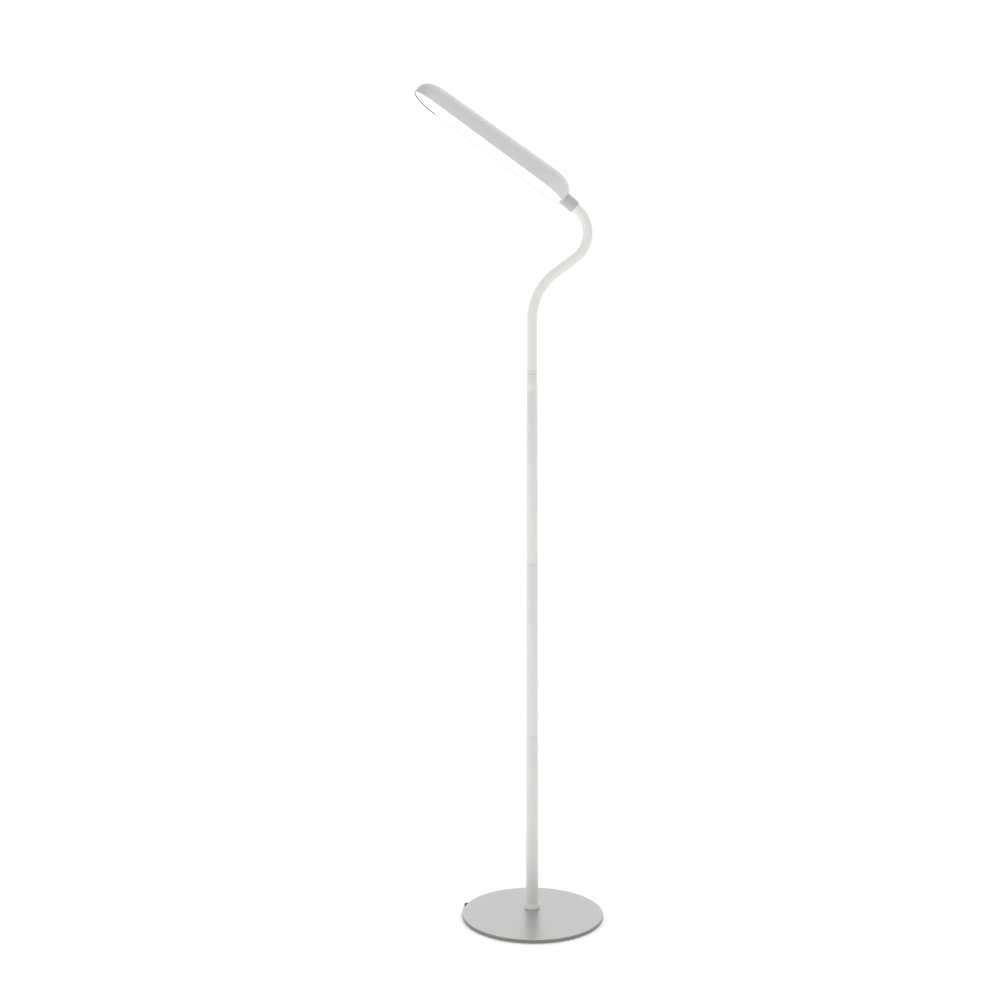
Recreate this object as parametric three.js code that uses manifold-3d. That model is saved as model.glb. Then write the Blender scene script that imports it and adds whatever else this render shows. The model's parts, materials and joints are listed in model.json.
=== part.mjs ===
// Floor-standing reading lamp: a flat steel base, a slim three-piece pole, a flexible S-bent neck and
// a long domed LED head. Millimetres, +Z up, +X to the right, +Y to the back. The origin is the
// middle of the underside of the base.
import * as THREE from "three";
import { mergeVertices } from "three/addons/utils/BufferGeometryUtils.js";
import { ParametricGeometry } from "three/addons/geometries/ParametricGeometry.js";
import Module from "manifold-3d";

const wasm = await Module();
wasm.setup();

// ---------------------------------------------------------------- driving dimensions

const GAP = 0.3; // the clearance between pieces that touch

// Base
const BASE_D = 240;
const BASE_T = 5; // the steel plate
const BASE_EDGE_R = 1.2; // its rounded top edge
const BASE_LOW_EDGE = 0.5; // its chamfered lower edge
const PAD_T = 1; // the foam sheet under the plate
const PAD_GAP = 0.2; // between the sheet and the plate
const PAD_INSET = 4; // from the plate's edge to the sheet's
const POLE_BACK = 22; // how far the pole stands behind the middle of the base
const GLAND_ANGLE = THREE.MathUtils.degToRad(160); // round the rim, from +X towards +Y
const GLAND_W = 9;
const GLAND_PROUD = 4; // outside the rim
const GLAND_DEEP = 10; // inside the rim
const GLAND_COVER = 1; // steel left over it
const GLAND_HOLE_D = 2.6;

// Pole
const POLE_TOP = 897; // height of the top of the pole
const POLE_BOTTOM_D = 21.5;
const POLE_TOP_D = 18.5;
const POLE_WALL = 1.2;
const POLE_PIECES = ["pole_lower", "pole_middle", "pole_upper"];
const COUPLER_L = 44;
const COUPLER_BORE_D = 8;
const INSERT_L = 24;
const INSERT_SCREW_IN = 3; // from the insert's outside to the axis of each base screw
const COLLAR_WALL = 2.2; // the ring round the pole's foot
const COLLAR_H = 7;
const FERRULE_H = 31;
const FERRULE_SPIGOT_L = 20;

// Neck: straight, bent to the right, straight, bent back to the left, straight
const NECK_D = 17;
const NECK_BORE_D = 5;
const NECK_LINE = [
  { length: 93.7, turn: 0 },
  { radius: 101.2, turn: THREE.MathUtils.degToRad(53.3) },
  { length: 41.6, turn: 0 },
  { radius: 54.7, turn: THREE.MathUtils.degToRad(-102.1) },
  { length: 4.3, turn: 0 },
];
const BEAD_H = 4.5; // the ring at the foot of the neck
const HINGE_COUNT = 9;
const FIRST_HINGE = 30; // along the neck, from its foot
const LAST_HINGE_BACK = 27; // along the neck, from its end
const HINGE_REACH = THREE.MathUtils.degToRad(20); // the most that one link turns on the next
const CUP_WALL = 1.3; // of the cup on each ball
const BALL_GAP = 0.6; // between a ball and the cup on it
const LEAD_D = 2.6;
const LEAD_BEND_R = 4.5; // where it turns up out of the base

// Head
const HEAD_L = 320;
const HEAD_W = 86;
const HEAD_TIP_H = 33; // height of the dome over the tip
const HEAD_NECK_H = 38; // and over the neck end
const HEAD_TILT = THREE.MathUtils.degToRad(36.4); // how far the tip is raised
const HEAD_WALL = 2.2;
const HEAD_END_STEPS = 10; // facets round each end
const HEAD_SIDE_STEPS = 5; // and along each side
const DOME_ROWS = 7;
const DOME_POWER = 2.6; // 2 is an ellipse, more is boxier
const DIFFUSER_T = 2.5;
const DIFFUSER_IN = 1.5; // how far it sits inside the rim
const HEAD_LIP_H = DIFFUSER_IN + DIFFUSER_T + 2 * GAP; // the upright edge that holds the diffuser
const NECK_COLLAR_D = 22;
const NECK_COLLAR_L = 27.5;
const NECK_COLLAR_UP = 6.7; // from the rim plane to the middle of the collar's lower face
const NECK_COLLAR_OUT = 21; // and from the end of the head
const SPIGOT_D = 9;
const SPIGOT_L = 22; // inside the head
const CLAMP = { length: 20, width: 26, height: 12, floor: 5 };
const CLAMP_SCREW_OUT = 9;
const TRAY_T = 1.5;
const TRAY_INSET = 9; // from the side of the head to the side of the tray
const TRAY_UP = 12; // from the rim plane to its underside
const TRAY_SCREW_ALONG = [0.3, 0.82]; // of the head's length
const TRAY_SCREW_IN = 7; // from the side of the tray
const LEAD_RISE = 22; // from the clamp to the tray, where the lead comes up over it
const BOARD_T = 1.2;
const BOARD_INSET = 16; // from the side of the tray to the side of the board
const LED_COUNT = 12; // in each row
const LED = { length: 3.4, width: 2.8, height: 0.8 };
const LED_STRIP = { width: 5, thick: 0.5, past: 3 }; // past the middles of the last LEDs
const DRIVER = { length: 74, width: 28, thick: 1.6, standoff: 2.6, post: 4 };
const CHOKE = { along: 18.5, width: 13, height: 11 };
const CAPACITOR = { along: 38, across: 4, width: 9, height: 12 };
const CHIP = { along: 54, width: 8, height: 4 };

// Screws: the thread's and the head's diameter, and the head's height
const BASE_SCREW = { thread: 3.4, head: 6.8, height: 2 };
const BASE_SCREW_L = 17;
const HEAD_SCREW = { thread: 2.6, head: 5.2, height: 1.5 };
const TRAY_SCREW_L = 10;
const CLAMP_SCREW_L = 18;
const BOSS_WALL = 2.2;

// ---------------------------------------------------------------- finishes

const finish = (color, roughness, metalness = 0) =>
  new THREE.MeshStandardMaterial({ color, roughness, metalness });
const SILVER_PAINT = finish(0xc6c6c5, 0.4, 0.5);
const WHITE_PAINT = finish(0xeceae6, 0.35);
const WHITE_SLEEVE = finish(0xebe9e4, 0.55);
const WHITE_ABS = finish(0xe4e4e2, 0.4);
const GREY_ABS = finish(0xb9b8b6, 0.45);
const BLACK_RUBBER = finish(0x17171a, 0.7);
const FOAM = finish(0x2c2c2e, 0.95);
const ZINC = finish(0xb4b6b8, 0.35, 0.9);
const ALUMINIUM = finish(0xd0d2d4, 0.35, 0.9);
const OPAL = finish(0xfffdf6, 0.5);
const BOARD_WHITE = finish(0xf0f0ec, 0.5);
const BOARD_GREEN = finish(0x2e6b3c, 0.55);
const LED_YELLOW = finish(0xf3e08a, 0.4);
const LEAD_WHITE = finish(0xdddcd8, 0.6);

// ---------------------------------------------------------------- shapes

// A closed geometry as a solid that can be cut and joined.
function toSolid(geometry) {
  const bare = geometry.clone().deleteAttribute("normal").deleteAttribute("uv");
  const merged = mergeVertices(bare, 1e-4);
  return new wasm.Manifold(
    new wasm.Mesh({
      numProp: 3,
      vertProperties: merged.attributes.position.array,
      triVerts: new Uint32Array(merged.index.array),
    }),
  );
}

function toGeometry(solid) {
  const { vertProperties, triVerts } = solid.getMesh();
  const geometry = new THREE.BufferGeometry();
  geometry.setAttribute("position", new THREE.BufferAttribute(vertProperties, 3));
  geometry.setIndex(new THREE.BufferAttribute(triVerts, 1));
  geometry.computeVertexNormals();
  return geometry;
}

// geometry with each of the others cut from it.
const cut = (geometry, ...others) =>
  toGeometry(others.reduce((left, other) => left.subtract(toSolid(other)), toSolid(geometry)));

const join = (geometry, ...others) =>
  toGeometry(others.reduce((sum, other) => sum.add(toSolid(other)), toSolid(geometry)));

// Turned about Z from [radius, height] points, which go up the outside and end on the axis or close.
function turned(profile, sides) {
  const points = profile.map(([radius, height]) => new THREE.Vector2(radius, height));
  return new THREE.LatheGeometry(points, sides).rotateX(Math.PI / 2);
}

const ring = (profile, sides = 32) => turned([...profile, profile[0]], sides);

// A tube or a rod between two heights, by diameters; each end may have its own outer diameter.
const tube = (outer, inner, low, high, topOuter = outer, topInner = inner) =>
  ring([[inner / 2, low], [outer / 2, low], [topOuter / 2, high], [topInner / 2, high]], 24);

const rod = (diameter, low, high, sides = 20) =>
  turned([[0, low], [diameter / 2, low], [diameter / 2, high], [0, high]], sides);

// A pan-head screw that points up, with its head's bearing face at height seat.
const screw = ({ thread, head, height }, length, seat) =>
  turned(
    [
      [0, seat - height],
      [head / 2 - 0.4, seat - height],
      [head / 2, seat - height + 0.6],
      [head / 2, seat],
      [thread / 2, seat],
      [thread / 2, seat + length - 1],
      [thread / 4, seat + length],
      [0, seat + length],
    ],
    12,
  );

const box = (x0, x1, y0, y1, z0, z1) =>
  new THREE.BoxGeometry(x1 - x0, y1 - y0, z1 - z0)
    .translate((x0 + x1) / 2, (y0 + y1) / 2, (z0 + z1) / 2);

// A flat plate with round ends, of one width, along X between the middles of its two ends. Each end
// has that many facets.
function slot(x0, x1, width, z0, z1, facets = 20) {
  const shape = new THREE.Shape()
    .absarc(x1, 0, width / 2, -Math.PI / 2, Math.PI / 2)
    .absarc(x0, 0, width / 2, Math.PI / 2, (3 * Math.PI) / 2);
  const plate = { depth: z1 - z0, bevelEnabled: false, curveSegments: facets / 2 };
  return new THREE.ExtrudeGeometry(shape, plate).translate(0, 0, z0);
}

// A route through chosen points: one step of a sweep for each stretch between two of them.
class Route extends THREE.Curve {
  constructor(points) {
    super();
    this.points = points;
  }
  getPoint(t, target = new THREE.Vector3()) {
    const along = THREE.MathUtils.clamp(t, 0, 1) * (this.points.length - 1);
    const i = Math.min(Math.floor(along), this.points.length - 2);
    return target.lerpVectors(this.points[i], this.points[i + 1], along - i);
  }
  getUtoTmapping(u) {
    return u;
  }
}

// A lead of round section along a route.
function lead(points) {
  const sides = 8;
  const corners = Array.from({ length: sides }, (_, i) => {
    const angle = (2 * Math.PI * i) / sides;
    return new THREE.Vector2(Math.cos(angle), Math.sin(angle)).multiplyScalar(LEAD_D / 2);
  });
  return new THREE.ExtrudeGeometry(new THREE.Shape(corners), {
    steps: points.length - 1,
    bevelEnabled: false,
    extrudePath: new Route(points),
  });
}

const lamp = new THREE.Group();

function add(name, geometry, material, parent = lamp) {
  const mesh = new THREE.Mesh(geometry, material);
  mesh.name = name;
  parent.add(mesh);
}

// ---------------------------------------------------------------- base

const plateR = BASE_D / 2;
const plateLow = PAD_T + PAD_GAP;
const plateTop = plateLow + BASE_T;
const pole = new THREE.Group();
pole.position.set(0, POLE_BACK, 0);
lamp.add(pole);

add("foot_pad", rod(BASE_D - 2 * PAD_INSET, 0, PAD_T, 64), FOAM);

// The pole tapers evenly from its foot on the plate to its top.
const poleLow = plateTop + GAP;
const poleOuter = (z) => THREE.MathUtils.mapLinear(z, poleLow, POLE_TOP, POLE_BOTTOM_D, POLE_TOP_D);
const poleInner = (z) => poleOuter(z) - 2 * POLE_WALL;
const insertHigh = poleLow + INSERT_L;
const insertD = poleInner(insertHigh) - 2 * GAP;

// The lead runs in a groove under the plate, straight from the gland in the rim to the pole's axis.
const poleFoot = new THREE.Vector3(0, POLE_BACK, 0);
const glandRim = new THREE.Vector3(plateR * Math.cos(GLAND_ANGLE), plateR * Math.sin(GLAND_ANGLE), 0);
const grooveRun = glandRim.distanceTo(poleFoot);
const grooveTurn = Math.atan2(glandRim.y - poleFoot.y, glandRim.x - poleFoot.x);
const grooveHigh = plateLow + LEAD_D + 2 * GAP;
const leadHigh = (plateLow + grooveHigh) / 2;
const notchHigh = plateTop - GLAND_COVER;
const screwSeat = plateLow + BASE_SCREW.height + GAP;

// What lies along the groove is made along X from the pole's axis, then turned into place.
const alongGroove = (geometry) => geometry.rotateZ(grooveTurn).translate(poleFoot.x, poleFoot.y, 0);
const upright = new THREE.Vector3(0, 0, 1);
const screwOut = insertD / 2 - INSERT_SCREW_IN;
const acrossGroove = [1, -1].map((side) =>
  new THREE.Vector3(0, side * screwOut, 0).applyAxisAngle(upright, grooveTurn),
);

const edge = Array.from({ length: 4 }, (_, i) => {
  const angle = (Math.PI / 2) * (i / 3);
  return [plateR - BASE_EDGE_R * (1 - Math.cos(angle)), plateTop - BASE_EDGE_R * (1 - Math.sin(angle))];
});
const plateFoot = [[0, plateLow], [plateR - BASE_LOW_EDGE, plateLow], [plateR, plateLow + BASE_LOW_EDGE]];
const plateBlank = turned([...plateFoot, ...edge, [0, plateTop]], 80);
const leadHole = rod(LEAD_D + 12 * GAP, plateLow - 1, plateTop + 1).translate(0, POLE_BACK, 0);
const grooveHalf = LEAD_D / 2 + GAP;
const groove = alongGroove(box(0, grooveRun, -grooveHalf, grooveHalf, plateLow - 1, grooveHigh));
const glandIn = grooveRun - GLAND_DEEP;
const glandOut = grooveRun + GLAND_PROUD;
const notch = alongGroove(
  box(glandIn - GAP, glandOut, -GLAND_W / 2, GLAND_W / 2, plateLow - 1, notchHigh),
);
const screwHoles = acrossGroove.flatMap(({ x, y }) => [
  rod(BASE_SCREW.thread + 2 * GAP, plateLow - 1, plateTop + 1, 16).translate(x, POLE_BACK + y, 0),
  rod(BASE_SCREW.head + 2 * GAP, plateLow - 1, screwSeat + GAP, 16).translate(x, POLE_BACK + y, 0),
]);
add("base_plate", cut(plateBlank, leadHole, groove, notch, ...screwHoles), SILVER_PAINT);

acrossGroove.forEach(({ x, y }, i) =>
  add("base_screw_" + (i + 1), screw(BASE_SCREW, BASE_SCREW_L, screwSeat).translate(x, y, 0), ZINC, pole),
);

// The gland fills the notch and stands out of the rim with a thicker lip.
const glandHalf = GLAND_W / 2 - GAP;
const glandBody = box(glandIn, glandOut, -glandHalf, glandHalf, plateLow, notchHigh - GAP);
const glandLip = box(grooveRun + 2 * GAP, glandOut, -glandHalf, glandHalf, plateLow, plateTop - GAP);
const glandHole = rod(GLAND_HOLE_D, glandIn - 1, glandOut + 1, 12)
  .rotateY(Math.PI / 2)
  .translate(0, 0, leadHigh + GAP);
add("cord_gland", alongGroove(cut(join(glandBody, glandLip), glandHole)), BLACK_RUBBER);

// ---------------------------------------------------------------- pole

const pieceRun = (POLE_TOP - poleLow + GAP) / POLE_PIECES.length;

POLE_PIECES.forEach((name, i) => {
  const low = poleLow + i * pieceRun;
  const high = low + pieceRun - GAP;
  const taper = tube(poleOuter(low), poleInner(low), low, high, poleOuter(high), poleInner(high));
  add(name, taper, WHITE_PAINT, pole);
});

// A threaded coupler bridges each seam, half in the tube below and half in the tube above.
["coupler_lower", "coupler_upper"].forEach((name, i) => {
  const seam = poleLow + (i + 1) * pieceRun - GAP / 2;
  const high = seam + COUPLER_L / 2;
  add(name, tube(poleInner(high) - 2 * GAP, COUPLER_BORE_D, seam - COUPLER_L / 2, high), ZINC, pole);
});

// The foot insert takes the two base screws, with the lead up its middle.
const insertBlank = tube(insertD, LEAD_D + 6 * GAP, poleLow, insertHigh);
const insertHoles = acrossGroove.map(({ x, y }) =>
  rod(BASE_SCREW.thread + 2 * GAP, poleLow - 1, screwSeat + BASE_SCREW_L + 1, 16).translate(x, y, 0),
);
add("foot_insert", cut(insertBlank, ...insertHoles), ZINC, pole);

const collarInR = POLE_BOTTOM_D / 2 + GAP;
const collarOutR = collarInR + COLLAR_WALL;
add(
  "foot_collar",
  ring([
    [collarInR, poleLow],
    [collarOutR, poleLow],
    [collarOutR, poleLow + COLLAR_H - 1],
    [collarOutR - 1, poleLow + COLLAR_H],
    [collarInR, poleLow + COLLAR_H],
  ]),
  WHITE_PAINT,
  pole,
);

// The ferrule closes the pole and narrows it to the neck.
const ferruleLow = POLE_TOP + GAP;
const neckFoot = ferruleLow + FERRULE_H;
const spigotLow = POLE_TOP - FERRULE_SPIGOT_L;
const spigotOuter = poleInner(POLE_TOP) - 2 * GAP;
add(
  "neck_ferrule",
  ring([
    [NECK_BORE_D / 2, spigotLow],
    [spigotOuter / 2, spigotLow],
    [spigotOuter / 2, ferruleLow],
    [POLE_TOP_D / 2, ferruleLow],
    [NECK_D / 2, neckFoot - 1],
    [NECK_D / 2 - 0.5, neckFoot],
    [NECK_BORE_D / 2, neckFoot],
  ]),
  WHITE_PAINT,
  pole,
);
add("neck_bead", tube(NECK_D + 1, NECK_BORE_D, neckFoot + GAP, neckFoot + GAP + BEAD_H), WHITE_PAINT, pole);

// ---------------------------------------------------------------- neck

const stretchLength = ({ length, radius, turn }) => length ?? radius * Math.abs(turn);
const neckLength = NECK_LINE.reduce((sum, stretch) => sum + stretchLength(stretch), 0);
const at = (frame, x, y, z) => new THREE.Vector3(x, y, z).applyMatrix4(frame);

// The frame of the neck's line at a distance along it: Z is the line's direction, Y is the lamp's.
function neckFrame(distance) {
  const frame = new THREE.Matrix4().makeTranslation(0, 0, neckFoot);
  let left = distance;
  for (const stretch of NECK_LINE) {
    const run = Math.min(left, stretchLength(stretch));
    const turn = (stretch.turn * run) / stretchLength(stretch);
    const reach = turn ? (2 * run * Math.sin(turn / 2)) / turn : run;
    frame
      .multiply(new THREE.Matrix4().makeRotationY(turn / 2))
      .multiply(new THREE.Matrix4().makeTranslation(0, 0, reach))
      .multiply(new THREE.Matrix4().makeRotationY(turn / 2));
    left -= run;
  }
  return frame;
}

const hingeStep = (neckLength - LAST_HINGE_BACK - FIRST_HINGE) / (HINGE_COUNT - 1);
const hingeFrames = Array.from({ length: HINGE_COUNT }, (_, i) => neckFrame(FIRST_HINGE + i * hingeStep));
const neckEnd = neckFrame(neckLength);

const neckR = NECK_D / 2;
const boreR = NECK_BORE_D / 2;
const cupR = neckR - CUP_WALL;
const ballR = cupR - BALL_GAP;
const shoulder = neckR * Math.sin(HINGE_REACH) + 2 * GAP; // below a ball's middle
const stiff = cupR + 1; // above and below a hinge, where the line is straight

// Points on a ball's or a cup's section, between two angles above its equator.
const arc = (radius, from, to, height, steps = 3) =>
  Array.from({ length: steps + 1 }, (_, i) => {
    const angle = THREE.MathUtils.lerp(from, to, i / steps);
    return [radius * Math.cos(angle), height + radius * Math.sin(angle)];
  });

// Bends a straight piece, made along Z from 0 to run, to the line between two frames.
function bend(geometry, low, high, run, stiffLow, stiffHigh) {
  const a = at(low, 0, 0, stiffLow);
  const b = at(high, 0, 0, -stiffHigh);
  const pull = a.distanceTo(b) / 3;
  const line = new THREE.CubicBezierCurve3(
    a, at(low, 0, 0, stiffLow + pull), at(high, 0, 0, -stiffHigh - pull), b,
  );
  const position = geometry.getAttribute("position");
  for (let i = 0; i < position.count; i += 1) {
    const [x, y, z] = [position.getX(i), position.getY(i), position.getZ(i)];
    let place = at(low, x, y, z);
    if (z > run - stiffHigh - 1e-3) {
      place = at(high, x, y, z - run);
    } else if (z > stiffLow + 1e-3) {
      const t = (z - stiffLow) / (run - stiffLow - stiffHigh);
      const along = line.getTangent(t);
      place = line.getPoint(t).add(new THREE.Vector3(x * along.z, y, -x * along.x));
    }
    position.setXYZ(i, place.x, place.y, place.z);
  }
  return geometry;
}

// One link of the neck: a cup on the ball below, a tube, and a ball for the link above. The first
// link stands flat on the bead, and the last one ends flat in the head's collar.
function link(low, high, run, hasCup, hasBall) {
  const start = hasCup ? stiff : 0;
  const end = hasBall ? shoulder : 0;
  const rings = [1, 2].map((i) => THREE.MathUtils.lerp(start, run - end, i / 3));
  const foot = hasCup
    ? arc(cupR, Math.acos(boreR / cupR), 0, 0).concat([[neckR, 0], [neckR, start]])
    : [[boreR, 0], [neckR, 0]];
  const top = hasBall
    ? [[neckR, run - end], ...arc(ballR, -Math.asin(shoulder / ballR), Math.acos(boreR / ballR), run, 4)]
    : [[neckR, run], [boreR, run]];
  const boreTurns = hasBall ? [[boreR, run - end]] : [];
  const boreFoot = hasCup ? [[boreR, start]] : [];
  const profile = [
    ...foot,
    ...rings.map((z) => [neckR, z]),
    ...top,
    ...boreTurns,
    ...rings.toReversed().map((z) => [boreR, z]),
    ...boreFoot,
  ];
  return bend(ring(profile, 12), low, high, run, start, end);
}

const linkFoot = neckFrame(BEAD_H + 2 * GAP);
const linkEnds = [linkFoot, ...hingeFrames, neckEnd];
const linkRuns = linkEnds.slice(1).map((high, i) => {
  const inner = i > 0 && i < HINGE_COUNT;
  return inner ? hingeStep : at(linkEnds[i], 0, 0, 0).distanceTo(at(high, 0, 0, 0));
});
linkRuns.forEach((run, i) => {
  const neckLink = link(linkEnds[i], linkEnds[i + 1], run, i > 0, i < HINGE_COUNT);
  add("neck_link_" + i, neckLink, WHITE_SLEEVE, pole);
});

// The lead goes up the pole in one length. In the neck each link carries its own length of it.
const leadAbove = cupR + 2 * GAP; // a length starts above its hinge, inside the link
const leadPast = ballR - 4 * GAP; // and ends in the ball
const bendPoints = Array.from({ length: 6 }, (_, i) => {
  const angle = (Math.PI / 2) * (i / 5);
  const [inward, rise] = [1 - Math.sin(angle), 1 - Math.cos(angle)];
  return new THREE.Vector3(LEAD_BEND_R * inward, 0, leadHigh + LEAD_BEND_R * rise);
});
const grooveLine = [new THREE.Vector3(glandIn - GAP, 0, leadHigh), ...bendPoints].map((point) =>
  point.applyAxisAngle(upright, grooveTurn),
);
add("supply_lead", lead([...grooveLine, at(hingeFrames[0], 0, 0, leadPast)]), LEAD_WHITE, pole);

for (let i = 1; i < HINGE_COUNT; i += 1) {
  const straight = new THREE.CubicBezierCurve3(
    at(linkEnds[i], 0, 0, leadAbove),
    at(linkEnds[i], 0, 0, leadAbove + 7),
    at(linkEnds[i + 1], 0, 0, -shoulder - 7),
    at(linkEnds[i + 1], 0, 0, -shoulder),
  );
  const points = [...straight.getPoints(3), at(linkEnds[i + 1], 0, 0, leadPast)];
  add("neck_lead_" + i, lead(points), LEAD_WHITE, pole);
}

// ---------------------------------------------------------------- head

// The head's own frame: X from the tip to the neck, with 0 at its neck end, and Z up from the rim.
const head = new THREE.Group();
head.rotation.y = HEAD_TILT;
const collarFromHead = new THREE.Vector3(NECK_COLLAR_OUT, 0, NECK_COLLAR_UP).applyEuler(head.rotation);
head.position.copy(at(neckEnd, 0, 0, 0)).sub(collarFromHead);
pole.add(head);
head.updateMatrix();

const lightEnds = [-HEAD_L + HEAD_W / 2, -HEAD_W / 2]; // the middles of the two round ends

// The neck's end as it lies in the head's frame: the collar, its spigot and the lead run along it.
const collarFrame = head.matrix.clone().invert().multiply(neckEnd);

// A long dome with round ends on an upright lip. grow moves every wall out, and floor is the height
// of its flat underside.
function dome(grow, floor) {
  const radius = HEAD_W / 2 + grow;
  const section = Array.from({ length: DOME_ROWS + 1 }, (_, i) => {
    const angle = (Math.PI / 2) * (i / DOME_ROWS);
    return [Math.cos(angle) ** (2 / DOME_POWER), Math.sin(angle) ** (2 / DOME_POWER)];
  });
  const columns = 2 * (HEAD_END_STEPS + HEAD_SIDE_STEPS);

  // A point of the outline, by its column: round the neck end, along one side, and the same again.
  function outline(column) {
    const half = column % columns < columns / 2 ? 0 : 1;
    const step = (column % columns) - (half * columns) / 2;
    const [from, to] = half ? lightEnds : lightEnds.toReversed();
    const angle = Math.PI * (half - 0.5 + Math.min(step / HEAD_END_STEPS, 1));
    const x = THREE.MathUtils.lerp(from, to, Math.max(step - HEAD_END_STEPS, 0) / HEAD_SIDE_STEPS);
    return { x, outX: Math.cos(angle), outY: Math.sin(angle) };
  }

  function surface(round, height, target) {
    const { x, outX, outY } = outline(Math.round(round * columns));
    const row = Math.round(height * (DOME_ROWS + 2));
    const [out, up] = row < 2 ? [row, 0] : section[row - 2];
    const px = x + outX * out * radius;
    const top = THREE.MathUtils.mapLinear(px, -HEAD_L, 0, HEAD_TIP_H, HEAD_NECK_H) + grow;
    target.set(px, outY * out * radius, row < 2 ? floor : THREE.MathUtils.lerp(HEAD_LIP_H, top, up));
  }
  return new ParametricGeometry(surface, columns, DOME_ROWS + 2);
}

const trayW = HEAD_W - 2 * TRAY_INSET;
const trayHigh = TRAY_UP + TRAY_T;
const traySpots = TRAY_SCREW_ALONG.flatMap((share) =>
  [1, -1].map((side) => ({ x: -HEAD_L * share, y: side * (trayW / 2 - TRAY_SCREW_IN) })),
);
const clampX = at(collarFrame, 0, 0, NECK_COLLAR_L + SPIGOT_L / 2).x;
const clampBack = clampX - CLAMP.length / 2;
const clampHigh = CLAMP.floor + CLAMP.height;
const clampSeat = CLAMP.floor + HEAD_SCREW.height + GAP;
const clampSpots = [1, -1].map((side) => ({ x: clampX, y: side * CLAMP_SCREW_OUT }));

// Bosses hang from the dome's ceiling for the tray's and the clamp's screws.
const boss = ({ x, y }, low) =>
  rod(HEAD_SCREW.thread + 2 * BOSS_WALL, low, HEAD_NECK_H, 12).translate(x, y, 0);
const bossHole = ({ x, y }, low, high) =>
  rod(HEAD_SCREW.thread + 2 * GAP, low - 1, high + GAP, 12).translate(x, y, 0);
const spigotHole = rod(SPIGOT_D + 2 * GAP, 0, NECK_COLLAR_L + SPIGOT_L).applyMatrix4(collarFrame);
const hollow = cut(
  dome(-HEAD_WALL, -1),
  ...traySpots.map((spot) => boss(spot, trayHigh + GAP)),
  ...clampSpots.map((spot) => boss(spot, clampHigh + GAP)),
);
add(
  "head_shell",
  cut(
    dome(0, 0),
    hollow,
    spigotHole,
    ...traySpots.map((spot) => bossHole(spot, trayHigh + GAP, TRAY_UP + TRAY_SCREW_L)),
    ...clampSpots.map((spot) => bossHole(spot, clampHigh + GAP, clampSeat + CLAMP_SCREW_L)),
  ),
  WHITE_ABS,
  head,
);

// The collar is cut to the dome that it meets, and its spigot goes through the end wall.
const collarBlank = tube(NECK_COLLAR_D, NECK_BORE_D, GAP, NECK_COLLAR_L).applyMatrix4(collarFrame);
const spigotHigh = NECK_COLLAR_L + SPIGOT_L;
const spigot = tube(SPIGOT_D, NECK_BORE_D, NECK_COLLAR_L / 2, spigotHigh).applyMatrix4(collarFrame);
add("neck_collar", join(cut(collarBlank, dome(GAP, -GAP)), spigot), GREY_ABS, head);

const clampHalf = CLAMP.width / 2;
const clampBlank = box(clampBack, clampBack + CLAMP.length, -clampHalf, clampHalf, CLAMP.floor, clampHigh);
const clampHoles = clampSpots.flatMap(({ x, y }) => [
  rod(HEAD_SCREW.thread + 2 * GAP, CLAMP.floor - 1, clampHigh + 1, 12).translate(x, y, 0),
  rod(HEAD_SCREW.head + 2 * GAP, CLAMP.floor - 1, clampSeat, 12).translate(x, y, 0),
]);
add("neck_clamp", cut(clampBlank, spigotHole, ...clampHoles), ZINC, head);
clampSpots.forEach(({ x, y }, i) => {
  const clampScrew = screw(HEAD_SCREW, CLAMP_SCREW_L, clampSeat - GAP).translate(x, y, 0);
  add("clamp_screw_" + (i + 1), clampScrew, ZINC, head);
});

const diffuserW = HEAD_W - 2 * (HEAD_WALL + GAP);
const diffuserHigh = DIFFUSER_IN + DIFFUSER_T;
add("diffuser", slot(...lightEnds, diffuserW, DIFFUSER_IN, diffuserHigh, HEAD_END_STEPS), OPAL, head);

// The tray, its board and the rows of LEDs stop short of the clamp.
const plateEnds = (width) => [lightEnds[0], clampBack - LEAD_RISE - width / 2];
const trayHoles = traySpots.map(({ x, y }) =>
  rod(HEAD_SCREW.thread + 2 * GAP, TRAY_UP - 1, trayHigh + 1, 12).translate(x, y, 0),
);
add("led_tray", cut(slot(...plateEnds(trayW), trayW, TRAY_UP, trayHigh), ...trayHoles), ALUMINIUM, head);
traySpots.forEach(({ x, y }, i) => {
  const trayScrew = screw(HEAD_SCREW, TRAY_SCREW_L, TRAY_UP - GAP).translate(x, y, 0);
  add("tray_screw_" + (i + 1), trayScrew, ZINC, head);
});

const boardW = trayW - 2 * BOARD_INSET;
const boardHigh = TRAY_UP - GAP;
const boardLow = boardHigh - BOARD_T;
add("led_board", slot(...plateEnds(boardW), boardW, boardLow, boardHigh, 16), BOARD_WHITE, head);

// Each row is a thin strip along the middle of its half of the board, with its LEDs underneath.
const [firstLed, lastLed] = plateEnds(boardW);
const ledPitch = (lastLed - firstLed) / (LED_COUNT - 1);
const [stripStart, stripEnd] = [firstLed - LED_STRIP.past, lastLed + LED_STRIP.past];
const stripHigh = boardLow - GAP;
const stripLow = stripHigh - LED_STRIP.thick;
[1, -1].forEach((side, row) => {
  const y = (side * boardW) / 4;
  const half = LED_STRIP.width / 2;
  const strip = box(stripStart, stripEnd, y - half, y + half, stripLow, stripHigh);
  const chips = Array.from({ length: LED_COUNT }, (_, i) => {
    const x = firstLed + i * ledPitch;
    const [long, wide] = [LED.length / 2, LED.width / 2];
    return box(x - long, x + long, y - wide, y + wide, stripLow - LED.height, stripHigh - 0.1);
  });
  add("led_row_" + (row + 1), join(strip, ...chips), LED_YELLOW, head);
});

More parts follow.
